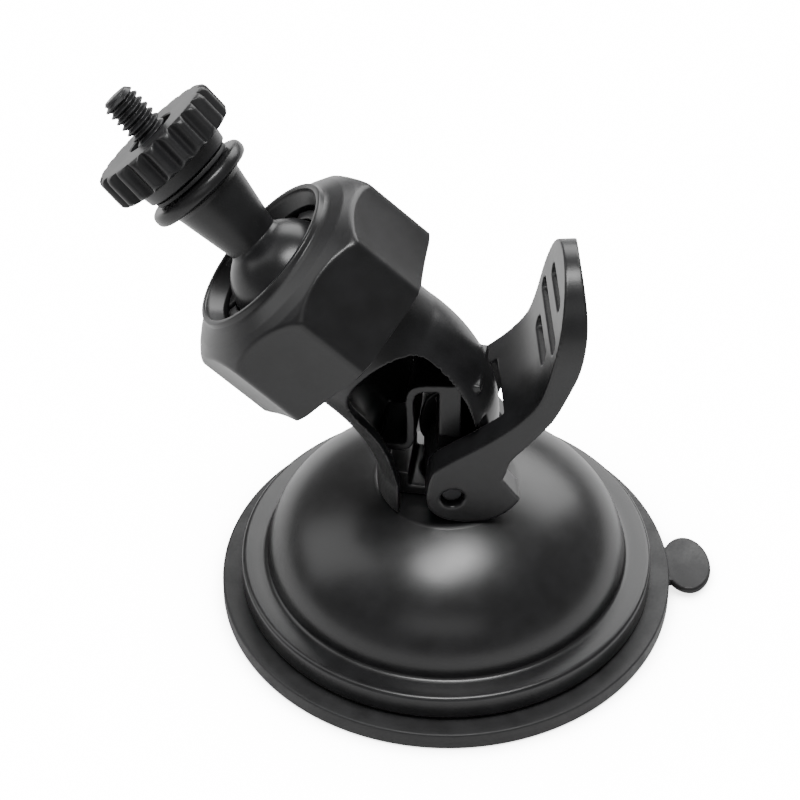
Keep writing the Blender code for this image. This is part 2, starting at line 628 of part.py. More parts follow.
# ---------------------------------------------------------------- cam lever
# side view, mm from the pin: (towards the paddle, up)
INNER_EDGE = ((-4.5, 0.3), (-4.1, 3.3), (-3.1, 6.2), (-0.3, 8.5), (4.3, 11.5), (8.5, 14.6), (11.8, 17.7), (14.3, 21.1),
              (15.6, 25.0), (16.7, 30.4), (17.7, 36.0), (18.4, 41.0), (18.9, 45.2))
OUTER_EDGE = ((21.3, 45.2), (21.9, 41.0), (22.2, 36.8), (21.9, 32.4), (21.0, 27.2), (19.3, 22.4), (17.2, 17.5), (15.2, 14.6), (12.3, 11.0),
              (9.9, 8.0), (9.2, 5.4))


def cam_point(a):
    """Point of the involute cam that bears on the dome when the lever has turned by a."""
    p = CAM_R0 + CAM_K * a
    return (p * math.sin(a) + CAM_K * math.cos(a), -p * math.cos(a) + CAM_K * math.sin(a))


cam_end = math.radians(CAM_DEG + 3)
cam = [cam_point(cam_end * (1 - i / 14)) for i in range(15)]
tip = cam[0]
lever_loop = (smooth_path(INNER_EDGE, 3) + smooth_path(OUTER_EDGE, 3)
              + [(8.6, 3.9), (tip[0] - 0.7, tip[1] + 0.9)] + cam
              + [(2.2, -CAM_R0)] + smooth_path(((0.6, -5.5), (-1.6, -4.8), (-3.5, -3.2), (-4.3, -1.6)), 3))
lever_mat = material("lever_abs", BLACK, 0.30)
lever = prism("cam_lever", lever_loop, -LEVER_HALF, LEVER_HALF, lever_mat, LEVER_FRAME, parts, 'Y')
end_loop = [(-LEVER_HALF - 0.0, -14), (LEVER_HALF, -14)] + [
    (LEVER_HALF * math.cos(math.pi * i / 24), PADDLE_ROUND[0] + PADDLE_ROUND[1] * math.sin(math.pi * i / 24))
    for i in range(25)]
end_shape = cutter(prism("paddle_end_tool", end_loop, -12, 30, None, LEVER_FRAME, tools, 'X'))
boolean(lever, end_shape, 'INTERSECT')
throat = cutter(prism("throat_tool", ((-9, -12), (15.6, -12), (15.2, 11.4), (8.9, 17.3), (-9, 17.3)),
                      -CHEEK_IN, CHEEK_IN, None, LEVER_FRAME, tools, 'Y'))
boolean(lever, throat)
boolean(lever, rod("pin_hole_tool", PIN_HOLE_R, -15, 15, place=LEVER_FRAME @ Y_TURN))
# three finger slots across the paddle, the middle one longer
for i, (x, z, half) in enumerate(((15.5, 24.9, 5.6), (16.7, 30.4, 9.4), (17.8, 36.6, 5.6))):
    tilt = Matrix.Translation(Vector((x, 0, z)) * MM) @ Matrix.Rotation(math.radians(76), 4, 'Y')
    loop = []
    for j in range(9):
        t = math.pi * j / 8
        loop.append((SLOT_W / 2 * math.cos(t), half - SLOT_W / 2 + SLOT_W / 2 * math.sin(t)))
    for j in range(9):
        t = math.pi + math.pi * j / 8
        loop.append((SLOT_W / 2 * math.cos(t), -half + SLOT_W / 2 + SLOT_W / 2 * math.sin(t)))
    boolean(lever, cutter(prism("slot_tool_%d" % i, loop, -8, 10, None, LEVER_FRAME @ tilt, tools, 'Z')))
finish(lever)
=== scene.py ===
"""Looks of the suction-cup dash camera mount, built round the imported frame.

Lengths below are in mm and are turned into metres where a mesh is made; the
frame is the CAD model's own."""
import json
import math

import bpy
import bmesh
from mathutils import Matrix, Vector


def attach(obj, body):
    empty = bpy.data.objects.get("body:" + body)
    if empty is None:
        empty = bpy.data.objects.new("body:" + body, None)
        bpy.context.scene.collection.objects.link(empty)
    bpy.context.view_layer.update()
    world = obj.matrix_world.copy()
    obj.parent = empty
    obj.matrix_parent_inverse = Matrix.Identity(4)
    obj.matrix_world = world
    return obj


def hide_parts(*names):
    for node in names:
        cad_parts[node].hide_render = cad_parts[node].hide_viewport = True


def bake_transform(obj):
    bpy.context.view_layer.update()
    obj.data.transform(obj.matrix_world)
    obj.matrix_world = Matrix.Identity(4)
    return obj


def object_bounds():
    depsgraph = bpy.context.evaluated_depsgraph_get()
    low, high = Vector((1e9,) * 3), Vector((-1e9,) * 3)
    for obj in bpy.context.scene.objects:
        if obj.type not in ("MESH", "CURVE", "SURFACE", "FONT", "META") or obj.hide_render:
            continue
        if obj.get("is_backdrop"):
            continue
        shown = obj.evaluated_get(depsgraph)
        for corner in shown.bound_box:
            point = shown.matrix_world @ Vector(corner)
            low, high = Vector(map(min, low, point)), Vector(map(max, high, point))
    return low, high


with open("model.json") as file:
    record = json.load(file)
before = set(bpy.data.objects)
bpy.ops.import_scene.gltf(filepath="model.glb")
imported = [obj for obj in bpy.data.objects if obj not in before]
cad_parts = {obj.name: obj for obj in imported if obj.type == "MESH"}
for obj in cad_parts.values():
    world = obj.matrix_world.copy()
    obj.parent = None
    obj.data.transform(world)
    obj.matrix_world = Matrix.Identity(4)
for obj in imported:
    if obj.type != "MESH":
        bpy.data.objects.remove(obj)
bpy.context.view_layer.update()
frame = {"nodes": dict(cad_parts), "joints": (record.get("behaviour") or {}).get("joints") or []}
NODES = frame["nodes"]
JOINTS = {j["name"]: j for j in frame["joints"]}
MM = 0.001
scene = bpy.context.scene

# ---------------------------------------------------------------- frames of the moving pieces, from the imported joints
LEAN = math.radians(47.0)
NUT_POS = Vector(JOINTS["nut_turn"]["pos_m"]) / MM
BALL_POS = Vector(JOINTS["ball_tilt"]["pos_m"]) / MM
STUD_DIR = Vector(JOINTS["wheel_turn"]["axis"]).normalized()
PIN_POS = Vector(JOINTS["lever_pivot"]["pos_m"]) / MM
pin_axis = Vector(JOINTS["lever_pivot"]["axis"])
LEVER_TURN = math.atan2(-pin_axis.x, pin_axis.y)

WORLD = Matrix.Identity(4)
NUT_FRAME = Matrix.Translation(NUT_POS * MM) @ Matrix.Rotation(-LEAN, 4, 'Y')
STUD_FRAME = Matrix.Translation(BALL_POS * MM) @ STUD_DIR.to_track_quat('Z', 'Y').to_matrix().to_4x4()
LEVER_FRAME = Matrix.Translation(PIN_POS * MM) @ Matrix.Rotation(LEVER_TURN, 4, 'Z')
Y_TURN = Matrix.Rotation(math.radians(-90), 4, 'X')

# ---------------------------------------------------------------- camera
CAM_AZ, CAM_EL, CAM_D = math.radians(8.0), math.radians(42.286), 0.56
target = Vector((-8.3 * math.cos(CAM_AZ), -8.3 * math.sin(CAM_AZ), 44.702)) * MM
back = Vector((math.sin(CAM_AZ) * math.cos(CAM_EL), -math.cos(CAM_AZ) * math.cos(CAM_EL), math.sin(CAM_EL)))
right = Vector((math.cos(CAM_AZ), math.sin(CAM_AZ), 0))
up = back.cross(right)
eye = target + back * CAM_D
cam_data = bpy.data.cameras.new("camera")
cam_data.sensor_width = 36.0
cam_data.lens = 146.37
cam_data.clip_start, cam_data.clip_end = 0.01, 20.0
cam = bpy.data.objects.new("camera", cam_data)
scene.collection.objects.link(cam)
cam.matrix_world = Matrix(((right.x, up.x, back.x, eye.x), (right.y, up.y, back.y, eye.y),
                           (right.z, up.z, back.z, eye.z), (0, 0, 0, 1)))
scene.camera = cam


# ---------------------------------------------------------------- materials
def node_material(name):
    m = bpy.data.materials.new(name)
    m.use_nodes = True
    nt = m.node_tree
    return m, nt, nt.nodes["Principled BSDF"]


def noise(nt, coord, scale, detail=2.0, rough=0.5):
    n = nt.nodes.new("ShaderNodeTexNoise")
    n.inputs["Scale"].default_value = scale
    n.inputs["Detail"].default_value = detail
    n.inputs["Roughness"].default_value = rough
    nt.links.new(coord.outputs["Object"], n.inputs["Vector"])
    return n


def ramp(nt, source, a, b, lo=0.35, hi=0.65):
    """Map a value between two grey or colour stops."""
    r = nt.nodes.new("ShaderNodeMapRange")
    r.inputs["From Min"].default_value, r.inputs["From Max"].default_value = lo, hi
    r.inputs["To Min"].default_value, r.inputs["To Max"].default_value = a, b
    nt.links.new(source, r.inputs["Value"])
    return r.outputs["Result"]


def moulded(name, tone, rough, grain=2600.0, bump=0.05, depth=0.00002, spread=0.015, specular=0.5, metal=0.0, flow=220.0):
    """Moulded plastic or rubber: faint colour drift, patchy gloss, fine tool grain."""
    m, nt, b = node_material(name)
    coord = nt.nodes.new("ShaderNodeTexCoord")
    broad = noise(nt, coord, flow, 3.0)
    fine = noise(nt, coord, grain, 2.0, 0.6)
    mix = nt.nodes.new("ShaderNodeMix")
    mix.data_type = 'RGBA'
    mix.inputs["A"].default_value = (tone[0] * 0.82, tone[1] * 0.82, tone[2] * 0.82, 1)
    mix.inputs["B"].default_value = (tone[0] * 1.2, tone[1] * 1.2, tone[2] * 1.22, 1)
    nt.links.new(ramp(nt, broad.outputs["Fac"], 0.0, 1.0), mix.inputs["Factor"])
    nt.links.new(mix.outputs["Result"], b.inputs["Base Color"])
    blend = nt.nodes.new("ShaderNodeMath")
    blend.operation = 'ADD'
    nt.links.new(ramp(nt, broad.outputs["Fac"], rough - spread, rough + spread), blend.inputs[0])
    nt.links.new(ramp(nt, fine.outputs["Fac"], -spread * 0.5, spread * 0.5), blend.inputs[1])
    nt.links.new(blend.outputs[0], b.inputs["Roughness"])
    bp = nt.nodes.new("ShaderNodeBump")
    bp.inputs["Strength"].default_value = bump
    bp.inputs["Distance"].default_value = depth
    nt.links.new(fine.outputs["Fac"], bp.inputs["Height"])
    nt.links.new(bp.outputs["Normal"], b.inputs["Normal"])
    b.inputs["Metallic"].default_value = metal
    b.inputs["Specular IOR Level"].default_value = specular
    return m


MAT = {
    "dome": moulded("dome_satin_abs", (0.0095, 0.0095, 0.0100), 0.30, 3200, 0.04),
    "pad": moulded("pad_soft_rubber", (0.0125, 0.0125, 0.0130), 0.50, 1800, 0.10, 0.00003, 0.06, 0.42),
    "arm": moulded("arm_satin_abs", (0.0090, 0.0090, 0.0096), 0.33, 2600, 0.05, specular=0.42),
    "lever": moulded("lever_satin_abs", (0.0100, 0.0100, 0.0106), 0.33, 2600, 0.05, specular=0.42),
    "nut": moulded("nut_satin_abs", (0.0095, 0.0095, 0.0100), 0.32, 2600, 0.05, specular=0.42),
    "stud": moulded("stud_satin_abs", (0.0100, 0.0100, 0.0105), 0.30, 2600, 0.04, specular=0.40),
    "wheel": moulded("wheel_satin_abs", (0.0110, 0.0110, 0.0116), 0.38, 2200, 0.07, specular=0.40),
    "screw": moulded("screw_black_oxide", (0.030, 0.030, 0.031), 0.36, 3800, 0.08, 0.00002, 0.08, 0.5, 0.55, 900),
    "washer": moulded("washer_nylon", (0.008, 0.008, 0.0085), 0.55, 2400, 0.05),
    "stem": moulded("stem_nylon", (0.012, 0.012, 0.0125), 0.45, 2400, 0.06),
    "seat": moulded("seat_acetal", (0.014, 0.014, 0.0145), 0.45, 2400, 0.05),
    "pin": moulded("pin_blackened_steel", (0.045, 0.045, 0.047), 0.38, 3200, 0.06, 0.00002, 0.06, 0.5, 0.9),
    "zinc": moulded("screw_zinc_plate", (0.36, 0.36, 0.345), 0.34, 3000, 0.10, 0.00002, 0.08, 0.5, 1.0),
}


# ---------------------------------------------------------------- mesh tools
def link(name, me, mat=None, place=WORLD, angle=34.0):
    ob = bpy.data.objects.new(name, me)
    scene.collection.objects.link(ob)
    ob.matrix_world = place
    me.materials.clear()
    if mat:
        me.materials.append(mat)
    me.shade_smooth()
    if angle:
        me.set_sharp_from_angle(angle=math.radians(angle))
    return ob


def from_bm(name, bm):
    me = bpy.data.meshes.new(name)
    bm.to_mesh(me)
    bm.free()
    return me


def applied(ob, merge=1e-6):
    """Makes the object's mesh its evaluated one, welded."""
    dg = bpy.context.evaluated_depsgraph_get()
    dg.update()
    me = bpy.data.meshes.new_from_object(ob.evaluated_get(dg))
    bm = bmesh.new()
    bm.from_mesh(me)
    if merge:
        bmesh.ops.remove_doubles(bm, verts=bm.verts, dist=merge)
    bm.to_mesh(me)
    bm.free()
    ob.modifiers.clear()
    ob.data = me
    return ob


def drop(*obs):
    for o in obs:
        bpy.data.objects.remove(o, do_unlink=True)


def turned(name, profile, mat=None, place=WORLD, steps=160, bevel=0.0, closed=None):
    """Surface of revolution about local Z through (r, z) points, outer side top to bottom."""
    bm = bmesh.new()
    rings = []
    for r, z in profile:
        if r < 1e-6:
            rings.append([bm.verts.new((0, 0, z * MM))])
        else:
            rings.append([bm.verts.new((r * math.cos(2 * math.pi * i / steps) * MM,
                                        r * math.sin(2 * math.pi * i / steps) * MM, z * MM)) for i in range(steps)])
    pairs = list(zip(rings, rings[1:]))
    if profile[0][0] > 1e-6:
        pairs.append((rings[-1], rings[0]))
    for a, b in pairs:
        for i in range(steps):
            j = (i + 1) % steps
            if len(a) == 1:
                bm.faces.new((a[0], b[i], b[j]))
            elif len(b) == 1:
                bm.faces.new((a[j], a[i], b[0]))
            else:
                bm.faces.new((a[i], b[i], b[j], a[j]))
    bmesh.ops.recalc_face_normals(bm, faces=bm.faces)
    ob = link(name, from_bm(name, bm), mat, place, 30)
    if bevel:
        m = ob.modifiers.new("edge", 'BEVEL')
        m.width, m.segments, m.limit_method, m.angle_limit = bevel * MM, 3, 'ANGLE', math.radians(24)
        applied(ob)
        ob.data.shade_smooth()
        ob.data.set_sharp_from_angle(angle=math.radians(40))
    return ob


def prism(name, outline, lo, hi, mat=None, place=WORLD, axis='Z'):
    """Flat outline (mm) extruded along local Z, along Y with the outline in XZ, or along X with it in YZ."""
    def at(u, v, w):
        return {'Z': (u, v, w), 'Y': (u, w, v), 'X': (w, u, v)}[axis]
    bm = bmesh.new()
    a = [bm.verts.new(Vector(at(u, v, lo)) * MM) for u, v in outline]
    b = [bm.verts.new(Vector(at(u, v, hi)) * MM) for u, v in outline]
    n = len(outline)
    for i in range(n):
        j = (i + 1) % n
        bm.faces.new((a[i], a[j], b[j], b[i]))
    bm.faces.new(a[::-1])
    bm.faces.new(b)
    bmesh.ops.recalc_face_normals(bm, faces=bm.faces)
    return link(name, from_bm(name, bm), mat, place, 30)


def block(name, lo, hi, place=WORLD):
    return prism(name, [(lo[0], lo[1]), (hi[0], lo[1]), (hi[0], hi[1]), (lo[0], hi[1])], lo[2], hi[2], None, place)


def rod(name, r, lo, hi, place=WORLD, steps=64):
    return turned(name, [(0, hi), (r, hi), (r, lo), (0, lo)], None, place, steps)


def cut(ob, tool, op='DIFFERENCE'):
    m = ob.modifiers.new(op.lower(), 'BOOLEAN')
    m.operation, m.solver, m.object = op, 'EXACT', tool


def moulded_edges(ob, voxel, rounds, keep=1.0, shade=None):
    """Turns a sharp solid into a moulded one: fine even mesh, edges rounded by relaxing it."""
    m = ob.modifiers.new("even", 'REMESH')
    m.mode, m.voxel_size, m.adaptivity = 'VOXEL', voxel * MM, 0.0
    s = ob.modifiers.new("relax", 'SMOOTH')
    s.factor, s.iterations = 0.5, rounds
    if keep < 1.0:
        d = ob.modifiers.new("thin", 'DECIMATE')
        d.ratio = keep
    applied(ob, 0)
    ob.data.shade_smooth()
    return ob


def spline(points, steps=4, closed=False):
    n = len(points)
    pts = [points[0]] + list(points) + [points[-1]]
    out = []
    for i in range(n if closed else n - 1):
        p0, p1, p2, p3 = ([points[(i + k - 1) % n] for k in range(4)] if closed else pts[i:i + 4])
        for j in range(steps):
            t = j / steps
            out.append(tuple(0.5 * (2 * p1[a] + (p2[a] - p0[a]) * t
                                    + (2 * p0[a] - 5 * p1[a] + 4 * p2[a] - p3[a]) * t ** 2
                                    + (3 * p1[a] - p0[a] - 3 * p2[a] + p3[a]) * t ** 3) for a in (0, 1)))
    if not closed:
        out.append(tuple(points[-1]))
    return out


def thick_path(points, t):
    left, rgt = [], []
    for i in range(len(points)):
        a, b = points[max(i - 1, 0)], points[min(i + 1, len(points) - 1)]
        d = math.hypot(b[0] - a[0], b[1] - a[1])
        nx, ny = -(b[1] - a[1]) / d * t / 2, (b[0] - a[0]) / d * t / 2
        left.append((points[i][0] + nx, points[i][1] + ny))
        rgt.append((points[i][0] - nx, points[i][1] - ny))
    return left + rgt[::-1]


def smin(a, b, k):
    """Smooth minimum: rounds the edge where two surfaces meet."""
    h = max(k - abs(a - b), 0.0) / k
    return min(a, b) - h * h * k * 0.25


def lobed(name, profile, outer, steps, mat, place):
    """Turned solid whose outer side also follows outer(angle): profile of (r, z, on the outer side?, softness)."""
    bm = bmesh.new()
    rings = []
    for r, z, out, k in profile:
        ring = []
        for i in range(steps):
            t = 2 * math.pi * i / steps
            rr = smin(r, outer(t), k) if out else r
            ring.append(bm.verts.new((rr * math.cos(t) * MM, rr * math.sin(t) * MM, z * MM)))
        rings.append(ring)
    for a, b in zip(rings, rings[1:] + rings[:1]):
        for i in range(steps):
            j = (i + 1) % steps
            bm.faces.new((a[i], b[i], b[j], a[j]))
    bmesh.ops.recalc_face_normals(bm, faces=bm.faces)
    return link(name, from_bm(name, bm), mat, place, 38)


def path_points(corners, step=0.6):
    """Evenly spaced points along straight runs between (r, z) corners."""
    out = []
    for (r0, z0), (r1, z1) in zip(corners, corners[1:]):
        n = max(1, round(math.hypot(r1 - r0, z1 - z0) / step))
        out += [(r0 + (r1 - r0) * i / n, z0 + (z1 - z0) * i / n) for i in range(n)]
    return out + [corners[-1]]


def rounded(corners, radius, n=4):
    """A row of (r, z) corners with each inner corner rounded by up to radius."""
    out = [corners[0]]
    for i in range(1, len(corners) - 1):
        p, q, s = Vector(corners[i - 1]), Vector(corners[i]), Vector(corners[i + 1])
        a, b = (p - q), (s - q)
        la, lb = a.length, b.length
        if la < 1e-6 or lb < 1e-6:
            continue
        a, b = a / la, b / lb
        ang = math.acos(max(-1.0, min(1.0, a.dot(b))))
        if ang > math.radians(172):
            out.append(tuple(q))
            continue
        cutback = min(radius / math.tan(ang / 2), la * 0.48, lb * 0.48)
        s0, s1 = q + a * cutback, q + b * cutback
        for k in range(n + 1):
            t = k / n
            v = s0 * (1 - t) ** 2 + q * 2 * t * (1 - t) + s1 * t * t
            out.append((v.x, v.y))
    out.append(corners[-1])
    return out


def done(ob, body, slot, *replaced):
    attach(ob, body)
    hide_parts(*replaced)
    return ob


# ---------------------------------------------------------------- dimensions shared with the CAD model, mm
PAD_R, PAD_T, HUB_R, HUB_TOP = 40.3, 3.4, 11.5, 6.3
TAB_R, TAB_AZ, TAB_HALF, TAB_Z = 43.8, 12.0, (4.4, 6.8, 0.75), 1.3
FOOT_R, FOOT_Z, STEM_R = 8.6, (2.5, 4.6), 4.0
RING_R, RING_Z = 36.7, (3.7, 8.6)
DOME_R, DOME_TOP, DOME_EXP, PLATFORM_Z, WALL = 32.0, 28.0, 2.0, 26.5, 2.2
BORE_R, SLEEVE_R, SLEEVE_Z = 4.25, 6.8, 12.5
GAP = 0.3
LEVER_HALF, CHEEK_IN = 12.0, 7.0

# ---------------------------------------------------------------- suction pad
pad = turned("suction_pad_rubber", rounded([
    (0, FOOT_Z[0] - GAP), (FOOT_R + GAP, FOOT_Z[0] - GAP), (FOOT_R + GAP, FOOT_Z[1] + GAP), (STEM_R + 0.5, FOOT_Z[1] + GAP),
    (STEM_R + 0.5, HUB_TOP), (HUB_R - 0.6, HUB_TOP), (HUB_R + 0.4, HUB_TOP - 1), (HUB_R + 1.8, PAD_T + 0.1), (HUB_R + 3.2, PAD_T - 0.4)], 0.3)
    + [(16 + 1.5 * i, PAD_T - 0.4 + 0.2 * i / 10) for i in range(10)]
    + rounded([(RING_R - 5, PAD_T - 0.2), (RING_R - 3, PAD_T), (RING_R + 0.3, PAD_T), (38.6, PAD_T), (PAD_R, PAD_T), (PAD_R, 2.4), (PAD_R, 1.4), (PAD_R, 0), (38.5, 0)], 0.45, 5)
    + [(36.0 - 1.5 * i, 0.0) for i in range(23)] + [(0, 0)], MAT["pad"], WORLD, 200)
tab_place = Matrix.Rotation(math.radians(TAB_AZ), 4, 'Z')
bm = bmesh.new()
rings = []
for q in range(9):
    f = -math.pi / 2 + math.pi * q / 8
    inset, h = 0.55 * (1 - math.cos(f)), TAB_HALF[2] * math.sin(f)
    rings.append([bm.verts.new(((TAB_R + (TAB_HALF[0] - inset) * math.cos(2 * math.pi * i / 72)) * MM,
                                (TAB_HALF[1] - inset) * math.sin(2 * math.pi * i / 72) * MM, (TAB_Z + h) * MM)) for i in range(72)])
for a, b in zip(rings, rings[1:]):
    for i in range(72):
        bm.faces.new((a[i], a[(i + 1) % 72], b[(i + 1) % 72], b[i]))
bm.faces.new(rings[0][::-1])
bm.faces.new(rings[-1])
bmesh.ops.recalc_face_normals(bm, faces=bm.faces)
tab = link("tab_tool", from_bm("tab_tool", bm), None, tab_place)
tab_neck = block("tab_neck_tool", (PAD_R - 3, -4.2, TAB_Z - TAB_HALF[2] + 0.02), (PAD_R + 1.2, 4.2, TAB_Z + TAB_HALF[2] - 0.02), tab_place)
cut(pad, tab_neck, 'UNION')
cut(pad, tab, 'UNION')
applied(pad)
drop(tab, tab_neck)
pad.data.shade_smooth()
pad.data.set_sharp_from_angle(angle=math.radians(40))
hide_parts("suction_pad")
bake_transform(pad)
for v in pad.data.vertices:
    t = min(max((30.0 - math.hypot(v.co.x, v.co.y) / MM) / 17.5, 0.0), 1.0)

# ---------------------------------------------------------------- dome housing
def dome_curve(r0, top, z_lo, z_hi, n):
    out = []
    for i in range(n + 1):
        z = z_lo + (z_hi - z_lo) * math.sin(math.pi / 2 * i / n)
        h = max((z - RING_Z[1]) / (top - RING_Z[1]), 0.0)
        out.append((r0 * max(0.0, 1 - h ** DOME_EXP) ** (1 / DOME_EXP), z))
    return out


outer = dome_curve(DOME_R, DOME_TOP, RING_Z[1] + 0.5, PLATFORM_Z - 0.2, 44)
inner = dome_curve(DOME_R - WALL, DOME_TOP - WALL, RING_Z[1] - 2.2, PLATFORM_Z - WALL, 28)
fillet = [(outer[0][0] + 1.0 * (1 - math.cos(a)), RING_Z[1] + 0.5 - 0.5 * math.sin(a)) for a in [math.pi / 2 * i / 5 for i in range(1, 6)]]
platform_r = outer[-1][0] - 0.35
profile = ([(BORE_R, PLATFORM_Z - 0.3), (BORE_R + 0.3, PLATFORM_Z), (platform_r - 0.6, PLATFORM_Z), (platform_r, PLATFORM_Z - 0.05)]
           + outer[::-1] + fillet
           + rounded([(DOME_R + 2, RING_Z[1]), (RING_R, RING_Z[1]), (RING_R, RING_Z[0]), (RING_R - 2.6, RING_Z[0])], 0.9, 6)
           + [(RING_R - 2.6, RING_Z[1] - 2.2)] + inner
           + rounded([(SLEEVE_R + 1.5, PLATFORM_Z - WALL), (SLEEVE_R, PLATFORM_Z - WALL - 1), (SLEEVE_R, SLEEVE_Z), (BORE_R, SLEEVE_Z)], 0.3))
dome = turned("dome_housing_shell", profile, MAT["dome"], WORLD, 224)
tools = [rod("hole_tool_%d" % i, 1.45, 20, 30, Matrix.Translation(Vector((-8.6, y, 0)) * MM), 28) for i, y in enumerate((-3.1, 3.1))]
for t in tools:
    cut(dome, t)
applied(dome)
drop(*tools)
dome.data.shade_smooth()
dome.data.set_sharp_from_angle(angle=math.radians(34))
done(dome, "base", "dome_plastic", "dome_housing")

# ---------------------------------------------------------------- arm
ARM_X, BEND_Z, TANGENT = -2.1, 32.8, 13.0
FOOT, MID, NECK, ARM_WALL = (9.4, 10.2, 12.5), (13.2, 12.3, 12.8), 12.95, 2.0
ARM_Z0 = PLATFORM_Z + GAP
sinL, cosL = math.sin(LEAN), math.cos(LEAN)
bend_r = TANGENT / math.tan(LEAN / 2)
up_len, arc_len = BEND_Z - ARM_Z0, bend_r * LEAN


def blend3(a, b, c, u):
    if u <= 0:
        return a
    if u >= 1:
        return c
    return a * (1 - u) * (1 - 2 * u) + b * 4 * u * (1 - u) + c * u * (2 * u - 1)


def station(s):
    if s <= up_len:
        return (ARM_X, ARM_Z0 + s), (1.0, 0.0), FOOT
    if s <= up_len + arc_len:
        a = (s - up_len) / bend_r
        u = a / LEAN
        return ((ARM_X - bend_r * (1 - math.cos(a)), BEND_Z + bend_r * math.sin(a)), (math.cos(a), math.sin(a)),
                tuple(blend3(FOOT[k], MID[k], NECK, u) for k in range(3)))
    d = s - up_len - arc_len
    return (ARM_X - bend_r * (1 - cosL) - sinL * d, BEND_Z + bend_r * sinL + cosL * d), (cosL, sinL), (NECK,) * 3


end_c = station(up_len + arc_len)[0]
S_NUT = up_len + arc_len + math.hypot(NUT_POS[0] - end_c[0], NUT_POS[2] - end_c[1])


def loft(name, stations, inset):
    ring_n = 96
    bm = bmesh.new()
    rings = []
    for s in stations:
        c, w, (ar, al, b) = station(s)
        ring = []
        for k in range(ring_n):
            t = 2 * math.pi * k / ring_n
            du = ((ar if math.cos(t) > 0 else al) - inset) * math.cos(t)
            ring.append(bm.verts.new(((c[0] + w[0] * du) * MM, (b - inset) * math.sin(t) * MM, (c[1] + w[1] * du) * MM)))
        rings.append(ring)
    for a, b in zip(rings, rings[1:]):
        for k in range(ring_n):
            bm.faces.new((a[k], a[(k + 1) % ring_n], b[(k + 1) % ring_n], b[k]))
    bm.faces.new(rings[0][::-1])
    bm.faces.new(rings[-1])
    bmesh.ops.recalc_face_normals(bm, faces=bm.faces)
    return link(name, from_bm(name, bm), None)


def window_outline(below):
    def point(s, n):
        c, w, _ = station(s)
        return (c[0] + w[0] * n, c[1] + w[1] * n)

    def left(s):
        u = min(max((s - up_len) / (arc_len * 0.6), 0), 1)
        return -station(s)[2][1] + 5.2 + 1.4 * u * u * (3 - 2 * u)

    def rgt(s):
        return station(s)[2][0] - 2.9
    s1 = S_NUT - below - 7.0
    n = 30
    out = [point(-3.0, left(0))] + [point(s1 * i / n, left(s1 * i / n)) for i in range(1, n + 1)]
    mid, half = (left(s1) + rgt(s1)) / 2, (rgt(s1) - left(s1)) / 2
    for i in range(1, 32):
        t = math.pi - math.pi * i / 32
        out.append(point(s1 + 7.0 * math.sin(t), mid + half * math.cos(t)))
    out += [point(s1 * i / n, rgt(s1 * i / n)) for i in range(n, 0, -1)]
    return out + [point(-3.0, rgt(0))]


n_st = 26
arm = loft("arm_shell", [0, up_len * 0.33, up_len * 0.66] + [up_len + arc_len * i / n_st for i in range(n_st + 1)] + [S_NUT - 2.0], 0.0)
core = loft("core_tool", [-4.0, 0.0] + [up_len + arc_len * i / n_st for i in range(n_st + 1)] + [S_NUT - 1.2], ARM_WALL)
BALL_S, BALL_R = 13.35, 10.0
cup = []
for i in range(15):
    z = 16.95 - (16.95 - 8.0) * i / 14
    cup.append((math.sqrt((BALL_R + 0.2) ** 2 - (z - BALL_S) ** 2), z))
neck = turned("neck_tool", [(0, 1.0), (BALL_R - 0.8, 1.0), (BALL_R - 0.8, 7.6)] + cup[::-1]
              + [(11.3, 17.0), (11.75, 16.6), (12.85, 9.5), (12.85, -0.4), (12.95, -0.6), (12.95, -2.4), (0, -2.4)], None, NUT_FRAME, 96)
CHEEK_ROOM = ((-5.2, -8), (17, -8), (17, 26), (15.0, 23.2), (12.2, 19.6), (8.8, 16.4), (4.5, 13.7), (0.8, 12.7), (-2.0, 12.0), (-5.2, 11.7))
tools = [("D", core), ("U", neck)]
for i, (below, lo, hi) in enumerate(((4.0, -20, 1.0), (26.0, 0.5, 20))):
    tools.append(("D", prism("window_tool_%d" % i, window_outline(below), lo, hi, None, WORLD, 'Y')))
for i, (lo, hi) in enumerate(((CHEEK_IN - 0.45, 16), (-16, -CHEEK_IN + 0.45))):
    tools.append(("D", prism("cheek_tool_%d" % i, CHEEK_ROOM, lo, hi, None, LEVER_FRAME, 'Y')))
WEB_HALF = 5.5
step_path = [(ARM_X - FOOT[1] + 0.9, 37.4), (-7.6, 37.6), (-6.2, 38.6), (-5.8, 40.6), (-6.0, 46.6), (-5.9, 49.2),
             (-5.0, 50.9), (-2.9, 51.6), (2.0, 52.1), (6.2, 52.8)]
tools.append(("U", prism("web_tool", thick_path(spline(step_path, 8), 1.5), -WEB_HALF, WEB_HALF, None, WORLD, 'Y')))
for i, (lo, hi) in enumerate(((-WEB_HALF, -4.25), (4.25, WEB_HALF))):
    tools.append(("U", block("guide_tool_%d" % i, (-1.0, lo, 41.3), (2.9, hi, 51.9))))
tools.append(("U", block("band_tool", (ARM_X - FOOT[1] + 1.0, -WEB_HALF, ARM_Z0), (ARM_X + FOOT[0] - 1.0, WEB_HALF, ARM_Z0 + 2.0))))
tools.append(("U", block("boss_tool", (ARM_X - FOOT[1] + 1.0, -WEB_HALF, ARM_Z0), (-6.0, WEB_HALF, ARM_Z0 + 5.0))))
tools.append(("D", rod("band_hole_tool", STEM_R + 0.45, 20, 31)))
for i in range(6):
    turn = Matrix.Rotation(math.radians(60.0 * i + 15.0), 4, 'Z')
    tools.append(("D", block("slit_tool_%d" % i, (6.5, -0.8, 7.8), (15, 0.8, 20), NUT_FRAME @ turn)))
for i, y in enumerate((-3.1, 3.1)):
    tools.append(("D", rod("screw_hole_tool_%d" % i, 1.15, 24, ARM_Z0 + 4.2, Matrix.Translation(Vector((-8.6, y, 0)) * MM), 24)))
